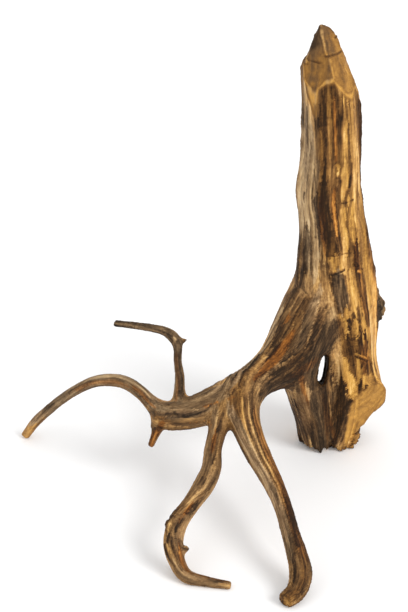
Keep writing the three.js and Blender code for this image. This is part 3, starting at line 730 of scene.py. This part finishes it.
class Chart:
    """A limb's surface laid flat: how far along the limb each nearby vertex is, and how far round."""

    def __init__(self, limb, points, distance, reach):
        self.near = np.nonzero(distance < reach)[0]
        index = limb.nearest(points[self.near])
        self.along, x, y = limb.place(points[self.near], index)
        width, depth = limb.radii[index].T
        self.facing = np.arctan2(x / width, y / depth)
        self.radius = np.hypot(x, y)

    def streak(self, half_width, line, frayed, waver, blunt=False):
        """1 on a streak and 0 off it. Its ends are drawn out and frayed unless they are blunt."""
        rows = np.array(sorted(line), float)
        along = self.along + frayed[self.near] * (0.15 if blunt else 1)
        half_width = max(half_width, 1.0)
        facing = np.radians(np.interp(along, rows[:, 0], rows[:, 1]))
        across = np.abs(self.facing - facing) * self.radius + waver[self.near] * min(0.25 * half_width, 0.8)
        inside = np.minimum(along - rows[0, 0], rows[-1, 0] - along)
        taper = 2 if blunt else min(3.0 * half_width + 6, 0.5 * (rows[-1, 0] - rows[0, 0]))
        width = half_width * np.sqrt(np.clip(inside / taper, 0, 1))
        soft = 0.12 * half_width + 0.3
        return smoothstep(soft, -soft, across - width) * (inside > 0)

    def nick(self, half_width, line):
        """1 on a thin line and 0 off it."""
        rows = np.array(line, float)
        best = np.full(len(self.near), np.inf)
        for a, b in zip(rows[:-1], rows[1:]):
            step = np.array([b[0] - a[0], math.radians(b[1] - a[1])])
            arc = (self.facing - math.radians(a[1])) * self.radius
            run = step[1] * self.radius
            t = ((self.along - a[0]) * step[0] + arc * run) / np.maximum(step[0] ** 2 + run**2, 1e-6)
            t = np.clip(t, 0, 1)
            best = np.minimum(best, np.hypot(self.along - a[0] - t * step[0], arc - t * run))
        return smoothstep(half_width + 0.5, half_width - 0.5, best)


# --- build ---

def new_object(name, data):
    made = bpy.data.objects.new(name, data)
    bpy.context.scene.collection.objects.link(made)
    return made


limbs = {name: Limb(**rows) for name, rows in LIMBS.items()}
field = Field(list(limbs.values()))
for limb in limbs.values():
    field.add(limb)
carve(field)
surface = Surface(*field.surface())
surface.smooth(2)
normals = surface.normals()
way, distances = fibre_directions(surface.v, normals, list(limbs.values()))
lookup = Lookup(surface.v)
fine = streaks(surface, lookup, way, noise(surface.v, 2.6, 1), 1.6, 14)
medium = streaks(surface, lookup, way, noise(surface.v, 5.5, 2), 2.4, 18)
broad = streaks(surface, lookup, way, noise(surface.v, 12, 3), 3.5, 20)
frayed = 5.0 * fine + 3.0 * medium
waver = 0.6 * medium + 0.4 * fine
bark = smoothstep(2.5, 0, distances[list(limbs).index("bark_knob")])
thick = np.zeros(len(surface.v))
for name, near in zip(limbs, distances):
    if name in THICK_LIMBS:
        thick = np.maximum(thick, smoothstep(8, 0, near))


def hewn_tip():
    """Where the surface was hewn, the tone of each vertex's facet with its painted light and shade, and the
    edges and ledges left there.
    """
    beside = np.array([np.abs(facet_cut(facet)(surface.v)) for facet in FACETS])
    facings, _, _, bottoms, _, tones_and_light = np.array(FACETS).T
    bottoms = bottoms[:, None]
    off = np.where(surface.v[:, 2] > bottoms, beside, FAR)
    first, second = off.argsort(axis=0)[:2]
    off_first, off_second = (np.take_along_axis(off, rank[None], axis=0)[0] for rank in (first, second))
    apart = (tones_and_light[first] != tones_and_light[second]) * (np.abs(facings[first] - facings[second]) > 20)
    meeting = smoothstep(2.2, 1.0, off_second) * apart
    leaving = smoothstep(1.2, 0.5, np.hypot(off_first, distances[0]))
    edges = np.maximum(meeting, leaving) * (off_first < ON_PLANE)
    has_ledge = (bottoms > HEWN_FROM) & (beside < 3)
    off_ledges = np.where(has_ledge, np.abs(surface.v[:, 2] - bottoms), FAR).min(axis=0)
    hewn = (off_first < ON_PLANE) * (distances[0] < 0.3)
    return hewn, tones_and_light[first], edges, smoothstep(1.2, 0.4, off_ledges)


def on_sawn_face():
    x, y, z = surface.v.T
    off = np.abs((surface.v - np.array(SAWN_FACE.point)) @ unit(np.array(SAWN_FACE.normal)))
    return (off < 0.9) * (x > 10) * (z < 105) * (y < -8)


hewn, facet_tone_and_light, edges, ledges = hewn_tip()
sawn = on_sawn_face()
cut_mask = surface.spread(np.maximum(hewn, sawn))
# The cut faces' tones; on the facets they carry painted light on the right-turned planes and painted shade
# on the left-turned ones.
cut_tone_and_light = surface.spread(surface.spread(np.where(sawn, SAWN_TONE, facet_tone_and_light)))

# The wood's lightness: bands along the fibres, sharper and stronger on the thick limbs.
bands = np.tanh(1.5 * (0.75 * broad + 0.6 * medium)) * (0.10 + 0.13 * thick)
tone = 0.45 + bands + (0.10 - 0.02 * thick) * fine + 0.05 * medium
# The cool hue: weathered wood's own, and painted shade where the streaks set it high on the sides turned
# from the light.
grey_and_shade = 0.35 + 0.15 * broad
rust = 0.15 * (medium > 0.8)
worn = smoothstep(-0.65, 0.1, noise(surface.v, 5, 70, 2))  # 0 where an edge is worn away
height, marked, mark_tone_and_shade = (np.zeros(len(surface.v)) for _ in range(3))
for level, centre, radii in ZONES:
    off = np.linalg.norm((surface.v - centre) / radii, axis=1) + 0.20 * medium + 0.12 * fine
    tone += (level + 0.05 * fine + 0.05 * medium + 0.05 * broad - tone) * smoothstep(1.1, 0.85, off)


def paint_streaks(name, chart):
    """Brings tone, grey and rust to the levels of a limb's streaks."""
    near = chart.near
    for kind, values in (("tone", tone), ("grey_and_shade", grey_and_shade), ("rust", rust)):
        by_fine, by_medium, cover = COVER[kind]
        for level, half_width, line, *blunt in STREAKS.get(name, {}).get(kind, []):
            mask = chart.streak(half_width, line, frayed, waver, blunt)
            target = level + by_fine * fine[near] + by_medium * medium[near]
            values[near] += (target - values[near]) * mask * cover


def cut_nicks(name, chart):
    """Raises or sinks a limb's small marks, and notes their tones: painted shade for the cracks and pits."""
    near = chart.near
    for kind, size, half_width, line in NICKS.get(name, []):
        mask = chart.nick(half_width, line) * (worn[near] if kind == "ridge" else 1)
        height[near] += (-size if kind in ("crack", "pit") else size) * mask
        if kind == "rise":
            continue
        level = MARK_TONES_AND_SHADE[kind] + (SHALLOW_CRACK_TONE if size < 1 and kind == "crack" else 0)
        mark_tone_and_shade[near] = np.where(mask > marked[near], level, mark_tone_and_shade[near])
        marked[near] = np.maximum(marked[near], mask)


for number, (name, limb) in enumerate(limbs.items()):
    chart = Chart(limb, surface.v, distances[number], REACH.get(name, 9))
    paint_streaks(name, chart)
    cut_nicks(name, chart)
# The facets' edges are pale; the ledges get a dark tone, painted shade under the step.
for mask, size, kind in ((edges * (0.4 + 0.6 * worn), 0.7, "ridge"), (ledges * worn, -0.7, "ledge")):
    height += size * mask
    mark_tone_and_shade = np.where(mask > marked, MARK_TONES_AND_SHADE[kind], mark_tone_and_shade)
    marked = np.maximum(marked, mask)
height += bark * (2.2 * noise(surface.v, 6, 61) + 1.6 * noise(surface.v, 3, 62))
mottle = noise(surface.v, 6, 60, 3)
cut_tone_and_light = cut_tone_and_light + 0.05 * fine + 0.09 * mottle
tone += (cut_tone_and_light - tone) * cut_mask
tone += (mark_tone_and_shade - tone) * marked * 0.85
# The darker, left-turned facets get the cool hue of painted shade.
grey_and_shade += (0.45 * smoothstep(0.5, 0.3, cut_tone_and_light) - grey_and_shade) * cut_mask
height += cut_mask * (0.7 * mottle + 0.25 * fine)
rust *= 1 - cut_mask
groove = -np.minimum(fine + 0.6, 0) * 0.35 - np.minimum(medium + 0.5, 0) * 0.45
relief = 0.10 * fine + 0.16 * medium + 0.3 * broad - groove + 1.0 * (surface.spread(tone) - 0.47)
relief *= 0.5 + 0.5 * thick
surface.v += normals * ((1 - cut_mask) * relief + height)[:, None]
surface.v[:, 2] = np.maximum(surface.v[:, 2], 0)

# Paler where the surface swells and darker where it hollows, by how it curves.
worn_normals = surface.normals()
swell = surface.spread(((surface.v - surface.spread(surface.v)) * worn_normals).sum(axis=1))
swell = swell / np.percentile(np.abs(swell), 80)
tone += 0.05 * np.clip(swell, -2.5, 2.5)
tone = np.clip(tone, 0, 1)
grey_and_shade, rust = np.clip(grey_and_shade, 0, 1), np.clip(rust, 0, 1)

mesh = bpy.data.meshes.new("driftwood_piece")
mesh.from_pydata((surface.v / 1000).tolist(), [], surface.quads.tolist())
mesh.update()
mesh.polygons.foreach_set("use_smooth", np.ones(len(mesh.polygons), bool))
piece = new_object("driftwood_piece", mesh)


def grain_coordinates():
    """Places along and across the fibres, for each face's corners, from the limb that the face is on."""
    owner = np.argmin(distances, axis=0)[surface.quads[:, 0]]
    corners = surface.quads.ravel()
    owners = np.repeat(owner, 4)
    grain = np.zeros((len(corners), 3))
    for number, limb in enumerate(limbs.values()):
        mine = np.nonzero(owners == number)[0]
        points = surface.v[corners[mine]]
        s, x, y = limb.place(points, limb.nearest(points))
        grain[mine] = np.column_stack([x, y, s + GRAIN_SHIFT * number])
    layer = mesh.attributes.new("grain", "FLOAT_VECTOR", "CORNER")
    layer.data.foreach_set("vector", grain.astype(np.float32).ravel())


for name, values in (("tone", tone), ("grey_and_shade", grey_and_shade), ("rust", rust), ("cut", cut_mask)):
    layer = mesh.attributes.new(name, "FLOAT", "POINT")
    layer.data.foreach_set("value", np.asarray(values, np.float32))
grain_coordinates()

# --- material ---

def new_material(name):
    """A material, its node tree and its shader's inputs."""
    made = bpy.data.materials.new(name)
    made.use_nodes = True
    return made, made.node_tree, made.node_tree.nodes["Principled BSDF"].inputs


material, tree, shader = new_material("worn_wood")
nodes, links = tree.nodes, tree.links


def attr(name, output="Fac"):
    node = nodes.new("ShaderNodeAttribute")
    node.attribute_name = name
    return node.outputs[output]


def connect(socket, value):
    if isinstance(value, (int, float, tuple)):
        socket.default_value = value
    else:
        links.new(value, socket)


def math_node(kind, a, b, c=None, clamp=False):
    node = nodes.new("ShaderNodeMath")
    node.operation, node.use_clamp = kind, clamp
    for socket, value in zip(node.inputs, (a, b) if c is None else (a, b, c)):
        connect(socket, value)
    return node.outputs[0]


def mix(share, a, b):
    node = nodes.new("ShaderNodeMix")
    node.data_type = "RGBA"
    connect(node.inputs["Factor"], share)
    connect(node.inputs["A"], a)
    connect(node.inputs["B"], b)
    return node.outputs["Result"]


def grain_noise(across, along, detail):
    """Noise in fibres across millimetres wide and along millimetres long, from -1 to 1."""
    stretch = nodes.new("ShaderNodeVectorMath")
    stretch.operation = "MULTIPLY"
    connect(stretch.inputs[0], attr("grain", "Vector"))
    connect(stretch.inputs[1], (1 / across, 1 / across, 1 / along))
    node = nodes.new("ShaderNodeTexNoise")
    node.inputs["Scale"].default_value = 1.0
    node.inputs["Detail"].default_value = detail
    node.inputs["Roughness"].default_value = 0.6
    links.new(stretch.outputs[0], node.inputs["Vector"])
    return math_node("MULTIPLY_ADD", node.outputs["Fac"], 2.0, -1.0)


def ramp(share, stops):
    node = nodes.new("ShaderNodeValToRGB")
    elements = node.color_ramp.elements
    while len(elements) < len(stops):
        elements.new(0.5)
    for element, (position, color) in zip(elements, stops):
        element.position = position
        element.color = (*color, 1)
    links.new(share, node.inputs[0])
    return node.outputs["Color"]


fibres = grain_noise(1.7, 28, 4)
pores = grain_noise(0.5, 5, 2)
uncut = math_node("SUBTRACT", 1.0, math_node("MULTIPLY", attr("cut"), 0.75))
ripple = math_node("MULTIPLY_ADD", fibres, 0.44, math_node("MULTIPLY", pores, 0.18))
ripple = math_node("MULTIPLY", ripple, uncut)
shade = math_node("ADD", attr("tone"), ripple, clamp=True)
warm = ramp(shade, [
    (0, (0.022, 0.010, 0.003)), (0.15, (0.062, 0.026, 0.0065)), (0.35, (0.155, 0.068, 0.016)),
    (0.55, (0.30, 0.143, 0.031)), (0.75, (0.52, 0.262, 0.054)), (0.92, (0.68, 0.375, 0.085)),
    (1, (0.79, 0.50, 0.16)),
])
cool = ramp(shade, [
    (0, (0.024, 0.016, 0.009)), (0.15, (0.058, 0.037, 0.020)), (0.4, (0.16, 0.104, 0.054)),
    (0.6, (0.31, 0.212, 0.115)), (0.8, (0.52, 0.37, 0.20)), (1, (0.75, 0.58, 0.36)),
])
red = ramp(shade, [
    (0, (0.024, 0.009, 0.003)), (0.2, (0.085, 0.029, 0.006)), (0.5, (0.28, 0.098, 0.016)),
    (0.8, (0.62, 0.26, 0.045)), (1, (0.85, 0.48, 0.13)),
])
# The cool ramp is mixed in for weathered wood and for the painted shade on the sides turned from the light.
color = mix(attr("rust"), mix(attr("grey_and_shade"), warm, cool), red)
links.new(color, shader["Base Color"])
links.new(math_node("MULTIPLY_ADD", shade, -0.22, 0.78), shader["Roughness"])
shader["Specular IOR Level"].default_value = 0.15
bump = nodes.new("ShaderNodeBump")
bump.inputs["Strength"].default_value = 0.6
bump.inputs["Distance"].default_value = 0.0006
links.new(ripple, bump.inputs["Height"])
links.new(bump.outputs["Normal"], shader["Normal"])
mesh.materials.append(material)

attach(piece, "root")
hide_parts("driftwood")

# --- stage ---

floor_mesh = bpy.data.meshes.new("floor")
floor_mesh.from_pydata([(-8, -8, 0), (8, -8, 0), (8, 8, 0), (-8, 8, 0)], [], [(0, 1, 2, 3)])
floor = new_object("floor", floor_mesh)
floor_material, _, floor_shader = new_material("pale_floor")
floor_shader["Base Color"].default_value = (0.95, 0.95, 0.95, 1)
floor_shader["Roughness"].default_value = 0.9
floor_mesh.materials.append(floor_material)

scene = bpy.context.scene
camera_data = bpy.data.cameras.new("camera")
camera_data.lens = 100
camera_data.sensor_width = 36
camera = new_object("camera", camera_data)
camera.location = (-0.134, -1.4722, 1.011)
camera.rotation_euler = (math.radians(60), 0, 0)
scene.camera = camera


def light(name, kind, energy, direction, place=(0, 0, 0)):
    """A light that shines in a direction, and its data."""
    data = bpy.data.lights.new(name, kind)
    data.energy = energy
    lamp = new_object(name, data)
    lamp.location = place
    lamp.rotation_euler = Vector(direction).to_track_quat("-Z", "Y").to_euler()
    return data


FILL_FROM, FILL_TO = Vector((-1.8, -1.4, 1.2)), Vector((-0.1, -0.05, 0.2))
light("fill", "AREA", 5, FILL_TO - FILL_FROM, FILL_FROM).size = 1.6
light("sun", "SUN", 1.5, (-0.72, 0.50, -0.75)).angle = math.radians(25)
scene.world = bpy.data.worlds.new("world")
scene.world.use_nodes = True
background = scene.world.node_tree.nodes["Background"]
background.inputs["Color"].default_value = (1, 1, 1, 1)
background.inputs["Strength"].default_value = 0.9
scene.view_settings.view_transform = "Standard"
